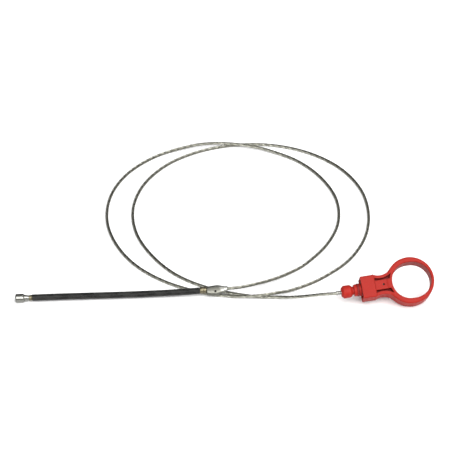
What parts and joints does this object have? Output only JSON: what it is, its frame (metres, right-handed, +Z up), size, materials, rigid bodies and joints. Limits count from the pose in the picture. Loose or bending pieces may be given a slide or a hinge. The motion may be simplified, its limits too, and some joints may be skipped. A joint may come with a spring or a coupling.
{
  "type": "flexible cable dipstick",
  "caption": "Flexible cable dipstick: red finger-ring handle with sealing plug, wire rope lying in two loops, crimp, and a black close-wound spring section with a steel tip.",
  "frame": {"origin": "on the surface the tool lies on, under the middle of the handle and its plug", "axes": "+X along the handle from the rope towards the finger ring, +Z up from the table; the rope's loops lie towards +Y and the tip towards -X"},
  "size_m": [0.2582, 0.1902, 0.0254],
  "materials": {
    "red_plastic": "satin moulded red plastic",
    "plug_plastic": "satin red plastic",
    "seal_rubber": "matt red rubber",
    "pin_steel": "dull steel",
    "fitting_steel": "bright zinc-plated steel",
    "rope_wire": "oiled galvanised wire",
    "crimp_steel": "pressed bright steel",
    "braze": "brazed, heat-tinted",
    "black_steel": "black-oxide spring wire, oiled",
    "tip_steel": "turned steel"
  },
  "bodies": {
    "root": {"handle": "red_plastic", "sealing_plug": "plug_plastic", "plug_seal_front": "seal_rubber", "plug_seal_rear": "seal_rubber", "cable_pin": "pin_steel", "cable_end_sleeve": "fitting_steel", "handle_rope": "rope_wire", "entry_ferrule": "fitting_steel", "wire_rope": "rope_wire", "crimp_tube": "crimp_steel", "crimp_rope": "rope_wire", "sleeve_collar": "braze", "black_spring": "black_steel", "core_rope": "rope_wire", "tip_collar": "braze", "tip_neck": "tip_steel", "tip_cap": "tip_steel"}
  },
  "joints": []
}
